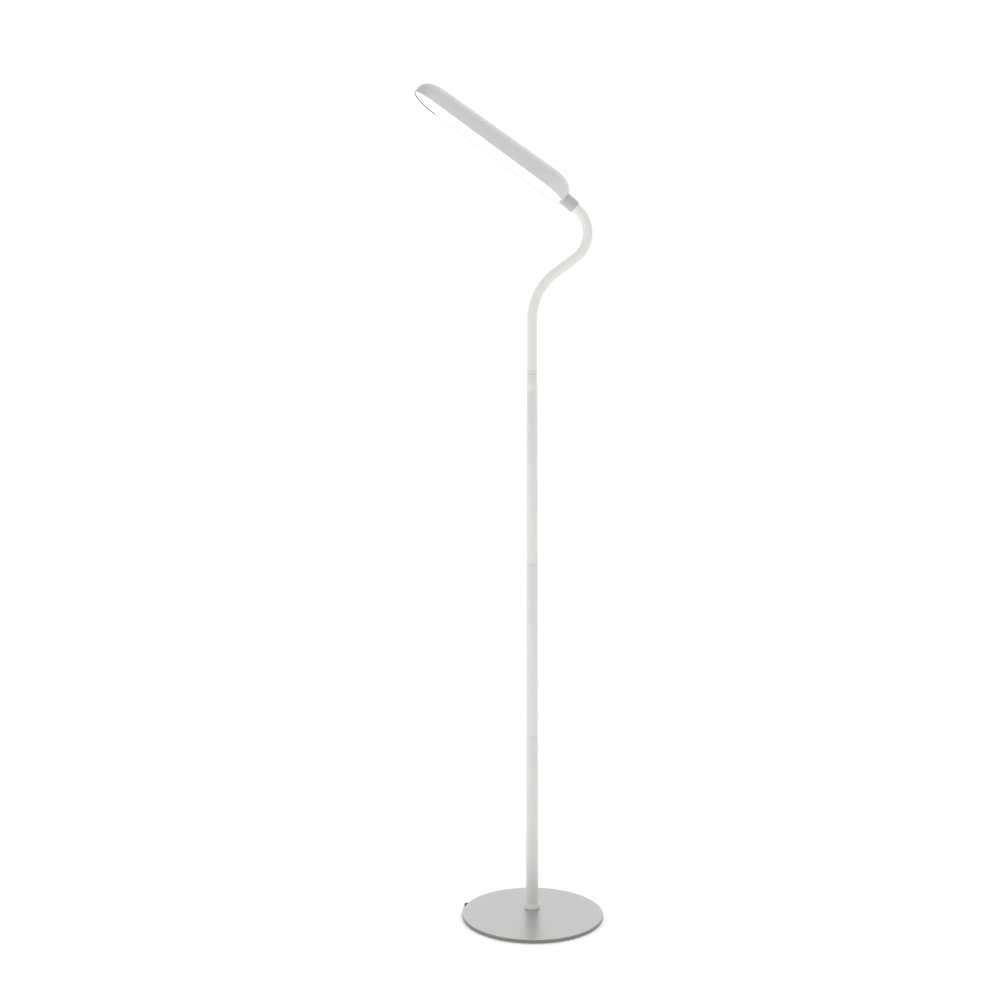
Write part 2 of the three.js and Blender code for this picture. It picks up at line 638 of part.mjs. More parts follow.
// The driver board stands on four posts on the tray, and carries a choke, a capacitor and a chip.
const driverHigh = plateEnds(trayW)[1];
const driverLow = driverHigh - DRIVER.length;
const driverFloor = trayHigh + GAP + DRIVER.standoff;
const driverTop = driverFloor + DRIVER.thick;
const driverHalf = DRIVER.width / 2;
const driverBoard = box(driverLow, driverHigh, -driverHalf, driverHalf, driverFloor, driverTop);
const posts = [driverLow + DRIVER.post, driverHigh - DRIVER.post].flatMap((x) =>
  [1, -1].map((side) =>
    rod(DRIVER.post, trayHigh + GAP, driverFloor + DRIVER.thick / 2, 8)
      .translate(x, side * (driverHalf - DRIVER.post), 0),
  ),
);
const [choke, chip] = [CHOKE, CHIP].map(({ along, width, height }) => {
  const x = driverLow + along;
  return box(x - width / 2, x + width / 2, -width / 2, width / 2, driverFloor + 1, driverFloor + height);
});
const capacitor = rod(CAPACITOR.width, driverFloor + 1, driverFloor + CAPACITOR.height, 16)
  .translate(driverLow + CAPACITOR.along, CAPACITOR.across, 0);
add("driver_board", join(driverBoard, ...posts, choke, chip, capacitor), BOARD_GREEN, head);

// The last length of lead: from the top hinge through the collar to the driver board.
const headHinge = head.matrix.clone().invert().multiply(hingeFrames[HINGE_COUNT - 1]);
const spigotOut = at(collarFrame, 0, 0, spigotHigh + 4);
const collarIn = new THREE.CubicBezierCurve3(
  at(headHinge, 0, 0, leadAbove),
  at(headHinge, 0, 0, leadAbove + 6),
  at(collarFrame, 0, 0, -6),
  at(collarFrame, 0, 0, 0),
);
const driverIn = new THREE.Vector3(driverHigh + GAP, 0, driverFloor + DRIVER.thick / 2);
const headRun = new THREE.CubicBezierCurve3(
  spigotOut,
  at(collarFrame, 0, 0, spigotHigh + 12),
  new THREE.Vector3(clampBack - LEAD_RISE / 2, 0, driverIn.z),
  driverIn,
);
add("head_lead", lead([...collarIn.getPoints(3), ...headRun.getPoints(4)]), LEAD_WHITE, head);

export default lamp;
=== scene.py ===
import json
import math

import bmesh
import bpy
from mathutils import Matrix, Vector


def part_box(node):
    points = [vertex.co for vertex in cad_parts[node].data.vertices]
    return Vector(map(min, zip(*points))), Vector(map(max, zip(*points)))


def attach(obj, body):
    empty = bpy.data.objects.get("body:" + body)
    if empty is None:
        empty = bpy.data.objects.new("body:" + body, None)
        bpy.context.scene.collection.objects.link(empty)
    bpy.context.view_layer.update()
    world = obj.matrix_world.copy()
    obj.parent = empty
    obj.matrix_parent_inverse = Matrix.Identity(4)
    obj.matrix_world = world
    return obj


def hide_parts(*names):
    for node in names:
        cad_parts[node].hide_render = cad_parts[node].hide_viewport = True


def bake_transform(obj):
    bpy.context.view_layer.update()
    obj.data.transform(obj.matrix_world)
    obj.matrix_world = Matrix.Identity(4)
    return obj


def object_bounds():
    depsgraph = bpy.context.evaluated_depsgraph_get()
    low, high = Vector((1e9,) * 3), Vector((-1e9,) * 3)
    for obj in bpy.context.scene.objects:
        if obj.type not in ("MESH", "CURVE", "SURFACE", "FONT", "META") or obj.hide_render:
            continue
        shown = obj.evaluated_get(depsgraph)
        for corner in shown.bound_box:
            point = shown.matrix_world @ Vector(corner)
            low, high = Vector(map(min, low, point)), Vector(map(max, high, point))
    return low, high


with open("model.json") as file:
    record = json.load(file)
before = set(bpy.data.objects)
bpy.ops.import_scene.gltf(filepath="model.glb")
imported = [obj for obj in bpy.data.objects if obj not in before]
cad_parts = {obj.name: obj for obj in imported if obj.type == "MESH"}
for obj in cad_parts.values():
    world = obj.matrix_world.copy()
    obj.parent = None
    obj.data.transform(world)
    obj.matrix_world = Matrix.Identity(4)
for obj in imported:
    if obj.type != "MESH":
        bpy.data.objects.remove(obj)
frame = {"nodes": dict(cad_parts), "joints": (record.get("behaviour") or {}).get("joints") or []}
cad_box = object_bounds()

# ---------------------------------------------------------------- camera, floor and studio light
# The lamp stands on a wide pale floor in a white studio. The camera looks level at it from just over
# two metres in front, about half way up, and its lens is shifted down so that the pole stays upright.
MM = 0.001
CAMERA_AT = (-0.0556, -2.078, 0.785)
CAMERA_LENS = 43.74
CAMERA_SHIFT = -0.0432
FLOOR_COLOUR = "#fbfbfa"
FLOOR_SIZE = 60
FLOOR_GLOW = 0.16  # the paper is lit from below too, so that it runs into the white backdrop
FLOOR_BELOW = 0.2 * MM  # the gap under the foot sheet
FIBRES_PER_METRE = 900


def linear(colour):
    """An sRGB hex colour as the linear RGBA that the shaders take."""
    values = [int(colour[i : i + 2], 16) / 255 for i in (1, 3, 5)]
    return [v / 12.92 if v <= 0.04045 else ((v + 0.055) / 1.055) ** 2.4 for v in values] + [1]


def add_node(tree, kind, settings=None, **inputs):
    """A node of that kind with its settings. Each input is a value, or a socket to link from."""
    node = tree.nodes.new(kind)
    for name, value in (settings or {}).items():
        setattr(node, name, value)
    for name, value in inputs.items():
        socket = node.inputs[int(name[1:]) if name[1:].isdigit() else name.replace("_", " ")]
        if isinstance(value, bpy.types.NodeSocket):
            tree.links.new(value, socket)
        else:
            socket.default_value = value
    return node


def new_material(name):
    """An empty node material with its output, and the tree to fill."""
    material = bpy.data.materials.new(name)
    material.use_nodes = True
    tree = material.node_tree
    tree.nodes.clear()
    return material, tree, tree.nodes.new("ShaderNodeOutputMaterial")


def finished(material, tree, output, shader):
    """The material, with its shader joined to its output."""
    tree.links.new(shader.outputs[0], output.inputs["Surface"])
    return material


def deselect():
    """Nothing selected, in object mode."""
    if bpy.context.object and bpy.context.object.mode != "OBJECT":
        bpy.ops.object.mode_set(mode="OBJECT")
    bpy.ops.object.select_all(action="DESELECT")


deselect()
camera_data = bpy.data.cameras.new("camera")
camera_data.lens = CAMERA_LENS
camera_data.sensor_width = 36
camera_data.shift_y = CAMERA_SHIFT
camera = bpy.data.objects.new("camera", camera_data)
camera.location = CAMERA_AT
camera.rotation_euler = (math.pi / 2, 0, 0)
bpy.context.scene.collection.objects.link(camera)
bpy.context.scene.camera = camera

bpy.ops.mesh.primitive_plane_add(size=FLOOR_SIZE, location=(0, 0, cad_box[0][2] - FLOOR_BELOW))
floor = bpy.context.object
floor.name = "floor"
# Matt paper: an even, shadowless white with a hint of fibre.
floor_paper, tree, output = new_material("pale_studio_paper")
where = add_node(tree, "ShaderNodeTexCoord").outputs["Object"]
fibre = add_node(tree, "ShaderNodeTexNoise", Vector=where, Scale=FIBRES_PER_METRE, Detail=2)
relief = add_node(
    tree, "ShaderNodeBump", Height=fibre.outputs["Fac"], Strength=0.05, Distance=0.1 * MM
)
shader = add_node(
    tree,
    "ShaderNodeBsdfPrincipled",
    Base_Color=linear(FLOOR_COLOUR),
    Roughness=0.9,
    Emission_Color=linear(FLOOR_COLOUR),
    Emission_Strength=FLOOR_GLOW,
    Normal=relief.outputs["Normal"],
)
floor.data.materials.append(finished(floor_paper, tree, output, shader))

# The studio is white behind the lamp, greyer behind the camera and darker on the left, so that
# round white pieces show a soft darker band down their middles and the head has a darker tip.
studio = bpy.data.worlds.new("white_studio")
studio.use_nodes = True
sky = studio.node_tree
sky.nodes.clear()
sky_at = add_node(sky, "ShaderNodeTexCoord").outputs["Generated"]
toward = add_node(sky, "ShaderNodeSeparateXYZ", Vector=sky_at)
STUDIO_FADES = (  # an axis, its darkest and lightest places, and how strong each of them is
    ("Y", -1.0, 0.1, 0.55, 1.04),
    ("X", -1.0, -0.35, 0.9, 1.0),
)
strengths = []
for axis, dark_end, light_end, dark, light in STUDIO_FADES:
    fade = add_node(
        sky,
        "ShaderNodeMapRange",
        {"interpolation_type": "SMOOTHSTEP"},
        Value=toward.outputs[axis],
        From_Min=dark_end,
        From_Max=light_end,
        To_Min=dark,
        To_Max=light,
    )
    strengths.append(fade.outputs[0])
both = add_node(
    sky, "ShaderNodeMath", {"operation": "MULTIPLY"}, _0=strengths[0], _1=strengths[1]
)
glow = add_node(sky, "ShaderNodeBackground", Color=(1, 1, 1, 1), Strength=both.outputs[0])
world_out = sky.nodes.new("ShaderNodeOutputWorld")
sky.links.new(glow.outputs[0], world_out.inputs["Surface"])
bpy.context.scene.world = studio
bpy.context.scene.view_settings.view_transform = "Standard"

# A card of black felt hangs over the head's tip on the left, unseen by the camera, and shades it.
# Its felt takes nearly all light in and has no shine.
FLAG_SIZE = 0.6
FLAG_AT = (-0.56, -0.05, 1.78)
FLAG_TURN = math.radians(135)
NAP_PER_METRE = 400
deselect()
bpy.ops.mesh.primitive_plane_add(size=FLAG_SIZE, location=FLAG_AT, rotation=(0, FLAG_TURN, 0))
flag = bpy.context.object
flag.name = "black_flag"
flag.visible_camera = False
felt, tree, output = new_material("black_felt")
where = add_node(tree, "ShaderNodeTexCoord").outputs["Object"]
nap = add_node(tree, "ShaderNodeTexNoise", Vector=where, Scale=NAP_PER_METRE, Detail=2)
shade = add_node(tree, "ShaderNodeMapRange", Value=nap.outputs["Fac"], To_Min=0.01, To_Max=0.03)
shader = add_node(
    tree, "ShaderNodeBsdfPrincipled", Base_Color=shade.outputs[0], Roughness=1.0, Sheen_Weight=0.2
)
flag.data.materials.append(finished(felt, tree, output, shader))
SOFTBOX_AIM = (0, 0, 0.8)


def softbox(name, place, size, power):
    """A square area light that faces the middle of the pole."""
    light_data = bpy.data.lights.new(name, "AREA")
    light_data.shape = "RECTANGLE"
    light_data.size = light_data.size_y = size
    light_data.energy = power
    light = bpy.data.objects.new(name, light_data)
    light.location = place
    aim = (Vector(SOFTBOX_AIM) - Vector(place)).to_track_quat("-Z", "Y")
    light.rotation_euler = aim.to_euler()
    bpy.context.scene.collection.objects.link(light)


softbox("softbox_left", (-2.0, -1.4, 0.5), 1.2, 7)
softbox("softbox_top", (0.4, 0.6, 3.4), 2.0, 6)

# ---------------------------------------------------------------- base
# The foot is one heavy disc of 5 mm mild steel, blanked and turned to a rounded top edge. It is
# powder coated in a fine satin silver grey that carries soft reflections. It lies on a foam sheet.
BASE_EDGE_R = 1.2 * MM
BASE_LOW_EDGE = 0.5 * MM
BASE_RINGS = (12 * MM, 60 * MM)  # rings of edges on its faces, which keep their shading even
SILVER = "#c4c4c3"
SILVER_DEEP = "#bebebd"
EDGE = "#8e8c89"  # painted shade: the rim, its bevels and the underside are coloured darker than the top, for the shade on the disc's side
EDGE_PAINTED_SHADE_DEEP = "#7f7d7a"
FLAKE = 0.35 * MM  # metallic flake, drawn coarser than the real 0.05 mm so that it shows
FLAKE_SHARE = 0.25
CLOUD = 90 * MM  # slow drifts in the coat's colour and shine
ORANGE_PEEL = 2.5 * MM  # the wavelength of a powder coat's skin


def pick(piece):
    """Only this piece selected and active."""
    deselect()
    piece.select_set(True)
    bpy.context.view_layer.objects.active = piece


def at_origin(piece):
    """The piece's place and turn go into its mesh."""
    pick(piece)
    bpy.ops.object.transform_apply(location=True, rotation=True, scale=True)


def in_edit(piece, mode="FACE"):
    """Opens the piece for editing, with nothing selected."""
    pick(piece)
    bpy.ops.object.mode_set(mode="EDIT")
    bpy.ops.mesh.select_mode(type=mode)
    bpy.ops.mesh.select_all(action="DESELECT")


def choose(piece, kind, test):
    """Selects the vertices, edges or faces of an open piece that pass the test."""
    mesh = bmesh.from_edit_mesh(piece.data)
    items = {"VERT": mesh.verts, "EDGE": mesh.edges, "FACE": mesh.faces}[kind]
    for item in items:
        item.select_set(bool(test(item)))
    mesh.select_flush_mode()
    bmesh.update_edit_mesh(piece.data)


def smooth(piece, angle=35):
    """Smooth shading, with the edges sharper than the angle kept crisp."""
    pick(piece)
    bpy.ops.object.shade_smooth_by_angle(angle=math.radians(angle))


def tidy_normals(piece):
    """Merges doubles and turns every face outwards."""
    in_edit(piece)
    bpy.ops.mesh.select_all(action="SELECT")
    bpy.ops.mesh.remove_doubles(threshold=0.005 * MM)
    bpy.ops.mesh.normals_make_consistent(inside=False)
    bpy.ops.object.mode_set(mode="OBJECT")


def edge_at(height, radius):
    """A test for the edges of a circle about Z at that height and radius."""

    def test(edge):
        return all(
            max(abs(v.co.z - height), abs(v.co.xy.length - radius)) < 0.02 * MM for v in edge.verts
        )

    return test


def powder_coat(name, colour, deep, metallic, roughness, peel=0.06):
    """Baked powder paint: an even colour with a slight orange-peel skin and a satin shine."""
    material, tree, output = new_material(name)
    where = add_node(tree, "ShaderNodeTexCoord").outputs["Object"]
    skin = add_node(tree, "ShaderNodeTexNoise", Vector=where, Scale=1 / ORANGE_PEEL, Detail=3)
    flake = add_node(tree, "ShaderNodeTexVoronoi", Vector=where, Scale=1 / FLAKE)
    cloud = add_node(tree, "ShaderNodeTexNoise", Vector=where, Scale=1 / CLOUD, Detail=4)
    speck = add_node(
        tree,
        "ShaderNodeMix",
        {"data_type": "FLOAT"},
        _0=FLAKE_SHARE,
        _2=cloud.outputs["Fac"],
        _3=flake.outputs["Distance"],
    )
    tint = add_node(
        tree,
        "ShaderNodeMix",
        {"data_type": "RGBA"},
        _0=speck.outputs[0],
        _6=linear(deep),
        _7=linear(colour),
    )
    worn = add_node(
        tree,
        "ShaderNodeMapRange",
        Value=cloud.outputs["Fac"],
        To_Min=roughness - 0.04,
        To_Max=roughness + 0.04,
    )
    relief = add_node(
        tree, "ShaderNodeBump", Height=skin.outputs["Fac"], Strength=peel, Distance=0.15 * MM
    )
    shader = add_node(
        tree,
        "ShaderNodeBsdfPrincipled",
        Base_Color=tint.outputs[2],
        Metallic=metallic,
        Roughness=worn.outputs[0],
        Normal=relief.outputs["Normal"],
    )
    return finished(material, tree, output, shader)


plate_low, plate_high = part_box("base_plate")
plate_r = (plate_high.x - plate_low.x) / 2
plate_top = plate_high.z
deselect()
bpy.ops.mesh.primitive_cylinder_add(
    vertices=192,
    radius=plate_r,
    depth=plate_top - plate_low.z,
    location=(0, 0, (plate_top + plate_low.z) / 2),
)
base_disc = bpy.context.object
base_disc.name = "base_disc"
at_origin(base_disc)
in_edit(base_disc)
choose(base_disc, "FACE", lambda f: abs(f.normal.z) > 0.9)
for step in BASE_RINGS:
    bpy.ops.mesh.inset(thickness=step)
bpy.ops.mesh.select_mode(type="EDGE")
choose(base_disc, "EDGE", edge_at(plate_top, plate_r))
bpy.ops.mesh.bevel(offset=BASE_EDGE_R, segments=5)
choose(base_disc, "EDGE", edge_at(plate_low.z, plate_r))
bpy.ops.mesh.bevel(offset=BASE_LOW_EDGE, segments=2)
tidy_normals(base_disc)
smooth(base_disc)
silver_paint = powder_coat(
    "silver_powder_coat", SILVER, SILVER_DEEP, metallic=0.85, roughness=0.32
)
base_disc.data.materials.append(silver_paint)
base_disc.data.materials.append(
    powder_coat("silver_coat_painted_shade_on_edge", EDGE, EDGE_PAINTED_SHADE_DEEP, metallic=0.85, roughness=0.4)
)
# Painted shade: every face that doesn't face up (the rim, its bevels and the underside) takes the
# darker coat.
for face in base_disc.data.polygons:
    face.material_index = 1 if face.normal.z < 0.8 else 0
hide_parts("base_plate")
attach(base_disc, "stand")

# ---------------------------------------------------------------- foot sheet
# A disc of closed-cell EVA foam, die cut and glued under the plate. It covers the two screws and
# the groove of the lead, and it keeps the steel off the floor.
FOAM_BLACK = "#2b2b2d"
FOAM_SKIN = "#39393b"
FOAM_CELL = 0.9 * MM


def carry(material, *nodes):
    """Gives CAD nodes that stay in view their finish."""
    for name in nodes:
        slots = frame["nodes"][name].data.materials
        slots.clear()
        slots.append(material)


# Black foam: dull, with fine round cells that keep it from looking like paint.
foam, tree, output = new_material("closed_cell_foam")
where = add_node(tree, "ShaderNodeTexCoord").outputs["Object"]
cells = add_node(tree, "ShaderNodeTexVoronoi", Vector=where, Scale=1 / FOAM_CELL)
skin = add_node(
    tree,
    "ShaderNodeMix",
    {"data_type": "RGBA"},
    _0=cells.outputs["Distance"],
    _6=linear(FOAM_SKIN),
    _7=linear(FOAM_BLACK),
)
relief = add_node(
    tree, "ShaderNodeBump", Height=cells.outputs["Distance"], Strength=0.5, Distance=0.2 * MM
)
shader = add_node(
    tree,
    "ShaderNodeBsdfPrincipled",
    Base_Color=skin.outputs[2],
    Roughness=0.92,
    Normal=relief.outputs["Normal"],
)
carry(finished(foam, tree, output, shader), "foot_pad")

# ---------------------------------------------------------------- cord gland
# A black rubber moulding in a notch of the rim, behind the pole on the left, where the supply
# lead leaves the groove under the plate. It is pushed in from below and held by the foam sheet.
GLAND_TURN = math.radians(160)
GLAND_PROUD = 4 * MM
GLAND_DEEP = 6 * MM
GLAND_WIDTH = 8.4 * MM
GLAND_HOLE_R = 1.3 * MM
GLAND_HOLE_UP = 2 * MM
GLAND_LIP = 0.9 * MM
GLAND_BULGE = 0.6 * MM
GLAND_EDGE = 0.5 * MM
DRILL_L = 30 * MM  # longer than the moulding, so that the hole runs right through
DRIFT = 60 * MM  # slow drifts of colour in a moulding
RUBBER = "#1a1a1c"
RUBBER_WORN = "#2a2a2c"


def moulded(name, colour, deep, roughness, grain, depth, grain_strength=0.2, coat=0.0):
    """Moulded plastic or rubber: spark-eroded grain, and a slight drift of colour and shine."""
    material, tree, output = new_material(name)
    where = add_node(tree, "ShaderNodeTexCoord").outputs["Object"]
    cloud = add_node(tree, "ShaderNodeTexNoise", Vector=where, Scale=1 / DRIFT, Detail=3)
    texture = add_node(tree, "ShaderNodeTexNoise", Vector=where, Scale=1 / grain, Detail=2)
    tint = add_node(
        tree,
        "ShaderNodeMix",
        {"data_type": "RGBA"},
        _0=cloud.outputs["Fac"],
        _6=linear(deep),
        _7=linear(colour),
    )
    shine = add_node(
        tree,
        "ShaderNodeMapRange",
        Value=texture.outputs["Fac"],
        To_Min=roughness - 0.05,
        To_Max=roughness + 0.05,
    )
    relief = add_node(
        tree,
        "ShaderNodeBump",
        Height=texture.outputs["Fac"],
        Strength=grain_strength,
        Distance=depth,
    )
    shader = add_node(
        tree,
        "ShaderNodeBsdfPrincipled",
        Base_Color=tint.outputs[2],
        Roughness=shine.outputs[0],
        Coat_Weight=coat,
        Coat_Roughness=0.15,
        Normal=relief.outputs["Normal"],
    )
    return finished(material, tree, output, shader)


gland_low, gland_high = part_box("cord_gland")
gland_tall = gland_high.z - gland_low.z
rim_at = Vector((math.cos(GLAND_TURN), math.sin(GLAND_TURN), 0)) * plate_r
pole_at = Vector((0, (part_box("pole_lower")[0].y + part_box("pole_lower")[1].y) / 2, 0))
outward = (rim_at - pole_at).normalized()
gland_at = rim_at + outward * (GLAND_PROUD - GLAND_DEEP) / 2
deselect()
bpy.ops.mesh.primitive_cube_add(
    size=1, location=gland_at + Vector((0, 0, gland_low.z + gland_tall / 2))
)
gland = bpy.context.object
gland.name = "cord_gland_moulding"
gland.scale = (GLAND_PROUD + GLAND_DEEP, GLAND_WIDTH, gland_tall)
gland.rotation_euler = (0, 0, math.atan2(outward.y, outward.x))
at_origin(gland)
in_edit(gland)
choose(gland, "FACE", lambda f: f.normal.dot(outward) > 0.9)
bpy.ops.mesh.inset(thickness=GLAND_LIP)
bpy.ops.transform.translate(value=outward * GLAND_BULGE)
bpy.ops.mesh.select_all(action="SELECT")
bpy.ops.mesh.bevel(offset=GLAND_EDGE, segments=3)
bpy.ops.object.mode_set(mode="OBJECT")
deselect()
bpy.ops.mesh.primitive_cylinder_add(
    vertices=24,
    radius=GLAND_HOLE_R,
    depth=DRILL_L,
    location=gland_at + Vector((0, 0, gland_low.z + GLAND_HOLE_UP)),
)
drill = bpy.context.object
drill.rotation_euler = outward.to_track_quat("Z", "Y").to_euler()
at_origin(drill)
pick(gland)
hole = gland.modifiers.new("cord hole", "BOOLEAN")
hole.object = drill
hole.operation = "DIFFERENCE"
bpy.ops.object.modifier_apply(modifier=hole.name)
bpy.data.objects.remove(drill)
tidy_normals(gland)
smooth(gland)
# Nitrile rubber: near black and dull, with a coarse grain that breaks up its highlights.
gland.data.materials.append(
    moulded(
        "moulded_nitrile_rubber",
        RUBBER_WORN,
        RUBBER,
        roughness=0.62,
        grain=0.6 * MM,
        depth=0.05 * MM,
    )
)
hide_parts("cord_gland")
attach(gland, "stand")

# ---------------------------------------------------------------- foot ring and pole
# The pole is three lengths of 1.2 mm steel tube, screwed together on couplers inside, so that the
# seams are hairlines. A turned ring hides its foot. All of it is powder coated satin white.
WHITE = "#e3e3e1"
WHITE_DEEP = "#dfdfdc"
POLE_FOOT_R = 10.75 * MM
POLE_TOP_R = 9.25 * MM
SEAM = 0.1 * MM
TUBE_EDGE = 0.12 * MM


def turned_round(name, at, low, high, low_r, high_r, sides=96):
    """A cylinder that stands at a place, from one height to another, with its top scaled to taper."""
    deselect()
    bpy.ops.mesh.primitive_cylinder_add(
        vertices=sides, radius=low_r, depth=high - low, location=(at.x, at.y, (low + high) / 2)
    )
    piece = bpy.context.object
    piece.name = name
    at_origin(piece)
    in_edit(piece)
    choose(piece, "FACE", lambda f: f.normal.z > 0.9)
    grow = high_r / low_r
    bpy.ops.transform.resize(value=(grow, grow, 1), center_override=(at.x, at.y, high))
    return piece


def end_edges(*heights):
    """A test for the edges that lie level at one of the heights."""

    def test(edge):
        return any(all(abs(v.co.z - height) < 0.05 * MM for v in edge.verts) for height in heights)

    return test


white_paint = powder_coat(
    "white_powder_coat", WHITE, WHITE_DEEP, metallic=0.0, roughness=0.26, peel=0.05
)
pole_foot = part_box("pole_lower")[0].z
pole_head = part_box("pole_upper")[1].z


def pole_r(height):
    """The tapered pole's radius at a height."""
    share = (height - pole_foot) / (pole_head - pole_foot)
    return POLE_FOOT_R + (POLE_TOP_R - POLE_FOOT_R) * share


for number, node in enumerate(("pole_lower", "pole_middle", "pole_upper"), 1):
    low, high = (corner.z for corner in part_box(node))
    high += SEAM if node != "pole_upper" else 0
    section = turned_round(f"pole_section_{number}", pole_at, low, high, pole_r(low), pole_r(high))
    bpy.ops.mesh.select_mode(type="EDGE")
    choose(section, "EDGE", end_edges(low, high))
    bpy.ops.mesh.bevel(offset=TUBE_EDGE, segments=2)
    tidy_normals(section)
    smooth(section)
    section.data.materials.append(white_paint)
    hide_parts(node)
    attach(section, "stand")

RING_EDGE = 1.2 * MM
ring_low, ring_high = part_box("foot_collar")
ring_r = (ring_high.x - ring_low.x) / 2
deselect()
bpy.ops.mesh.primitive_cylinder_add(
    vertices=96,
    radius=ring_r,
    depth=ring_high.z - ring_low.z,
    end_fill_type="NOTHING",
    location=(pole_at.x, pole_at.y, (ring_low.z + ring_high.z) / 2),
)
foot_ring = bpy.context.object
foot_ring.name = "foot_ring"
at_origin(foot_ring)
wall = foot_ring.modifiers.new("wall", "SOLIDIFY")
wall.thickness = ring_r - POLE_FOOT_R - SEAM
wall.offset = -1
bpy.ops.object.modifier_apply(modifier=wall.name)
in_edit(foot_ring, "EDGE")
choose(
    foot_ring,
    "EDGE",
    lambda e: end_edges(ring_high.z)(e)
    and all((v.co - pole_at).xy.length > ring_r - 0.1 * MM for v in e.verts),
)
bpy.ops.mesh.bevel(offset=RING_EDGE, segments=4)
tidy_normals(foot_ring)
smooth(foot_ring)
foot_ring.data.materials.append(white_paint)
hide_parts("foot_collar")
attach(foot_ring, "stand")

# ---------------------------------------------------------------- ferrule and bead
# A turned steel ferrule plugs the top of the pole and narrows it to the neck. The neck's own end
# bead stands on it, with a hairline joint between the two. Both are coated like the pole.
FERRULE_LIP = 0.6 * MM
FERRULE_STEP = 0.2 * MM  # its top is that much inside the sleeve
BEAD_EDGE = 1 * MM
NECK_R = 8.5 * MM
ferrule_low = pole_head + SEAM
ferrule_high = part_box("neck_ferrule")[1].z
ferrule = turned_round(
    "ferrule_turned", pole_at, ferrule_low, ferrule_high, POLE_TOP_R, NECK_R - FERRULE_STEP
)
bpy.ops.mesh.select_mode(type="EDGE")
choose(ferrule, "EDGE", end_edges(ferrule_high))
bpy.ops.mesh.bevel(offset=FERRULE_LIP, segments=3)
choose(ferrule, "EDGE", end_edges(ferrule_low))
bpy.ops.mesh.bevel(offset=TUBE_EDGE, segments=2)
tidy_normals(ferrule)
smooth(ferrule)
ferrule.data.materials.append(white_paint)
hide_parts("neck_ferrule")
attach(ferrule, "stand")

bead_low, bead_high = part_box("neck_bead")
bead_low.z = ferrule_high + SEAM
bead_r = (bead_high.x - bead_low.x) / 2
bead = turned_round("bead_ring", pole_at, bead_low.z, bead_high.z, bead_r, bead_r)
bpy.ops.mesh.select_mode(type="EDGE")
choose(bead, "EDGE", end_edges(bead_low.z, bead_high.z))
bpy.ops.mesh.bevel(offset=BEAD_EDGE, segments=4)
tidy_normals(bead)
smooth(bead)
bead.data.materials.append(white_paint)
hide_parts("neck_bead")
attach(bead, "stand")

# ---------------------------------------------------------------- neck
# A gooseneck: a coiled steel core in one smooth white silicone sleeve, which holds whatever bend it
# is pushed into. It is bent here to the right and back to the left. The sleeve is cut into one length
# for each of its nine hinges, and the lengths meet where the neck is rigid between two hinges.
NECK_BENDS = (  # a straight run, or a bend's radius and its turn to the right
    (93.7 * MM, 0),
    (101.2 * MM, math.radians(53.3)),
    (41.6 * MM, 0),
    (54.7 * MM, math.radians(-102.1)),
    (4.3 * MM, 0),
)
FIRST_HINGE = 30 * MM  # along the neck, from the ferrule
LAST_HINGE_BACK = 27 * MM  # and from the neck's end
NECK_SIDES = 48
RING_PITCH = 2 * MM
SLEEVE_GAP = 0.1 * MM
COIL_RIPPLE = 9 * MM  # drawn coarser than the 3 mm coil, so that it doesn't turn into noise
SLEEVE_DRIFT = 35 * MM
SLEEVE = "#e9e9e7"
SLEEVE_DEEP = "#e5e5e2"
ACROSS = Vector((0, 1, 0))
stretches = [(run * abs(turn) if turn else run, turn) for run, turn in NECK_BENDS]
neck_length = sum(run for run, _ in stretches)


def neck_line(distance):
    """The point and the direction of the neck's line at a distance along it from the ferrule."""
    at, way = Vector((pole_at.x, pole_at.y, ferrule_high)), Vector((0, 0, 1))
    for run, turn in stretches:
        part = min(distance, run)
        half = Matrix.Rotation(turn * part / run / 2, 3, "Y")
        way = half @ way
        chord = math.sin(turn * part / run / 2) / (turn / run / 2) if turn else part
        at = at + way * chord
        way = half @ way
        distance -= part
    return at, way


deselect()
bead_top = bead_high.z + SLEEVE_GAP
bpy.ops.mesh.primitive_circle_add(
    vertices=NECK_SIDES, radius=NECK_R, fill_type="NOTHING", location=(pole_at.x, pole_at.y, bead_top)
)
neck = bpy.context.object
neck.name = "neck_blank"
at_origin(neck)
in_edit(neck, "EDGE")
bpy.ops.mesh.select_all(action="SELECT")
gone = 0
for run, turn in stretches:
    at, way = neck_line(gone)
    if turn:
        centre = at - way.cross(ACROSS) * run / turn
        steps = math.ceil(run / RING_PITCH)
        bpy.ops.mesh.spin(steps=steps, angle=-turn, center=centre, axis=ACROSS)
    else:
        length = run if gone else run + ferrule_high - bead_top
        steps = math.ceil(length / RING_PITCH)
        step = way * length / steps
        for _ in range(steps):
            bpy.ops.mesh.extrude_region_move(TRANSFORM_OT_translate={"value": step})
    gone += run
tidy_normals(neck)


def sleeve_silicone():
    """Extruded silicone rubber: soft white with a dull sheen, faintly rippled by the coil inside."""
    material, tree, output = new_material("extruded_white_silicone")
    where = add_node(tree, "ShaderNodeTexCoord").outputs["Object"]
    cloud = add_node(tree, "ShaderNodeTexNoise", Vector=where, Scale=1 / SLEEVE_DRIFT, Detail=3)
    ripple = add_node(tree, "ShaderNodeTexNoise", Vector=where, Scale=1 / COIL_RIPPLE, Detail=1)
    tint = add_node(
        tree,
        "ShaderNodeMix",
        {"data_type": "RGBA"},
        _0=cloud.outputs["Fac"],
        _6=linear(SLEEVE_DEEP),
        _7=linear(SLEEVE),
    )
    shine = add_node(
        tree,
        "ShaderNodeMapRange",
        Value=cloud.outputs["Fac"],
        To_Min=0.44,
        To_Max=0.56,
    )
    relief = add_node(
        tree, "ShaderNodeBump", Height=ripple.outputs["Fac"], Strength=0.05, Distance=0.1 * MM
    )
    shader = add_node(
        tree,
        "ShaderNodeBsdfPrincipled",
        Base_Color=tint.outputs[2],
        Roughness=shine.outputs[0],
        Sheen_Weight=0.15,
        Sheen_Roughness=0.5,
        Normal=relief.outputs["Normal"],
    )
    return finished(material, tree, output, shader)


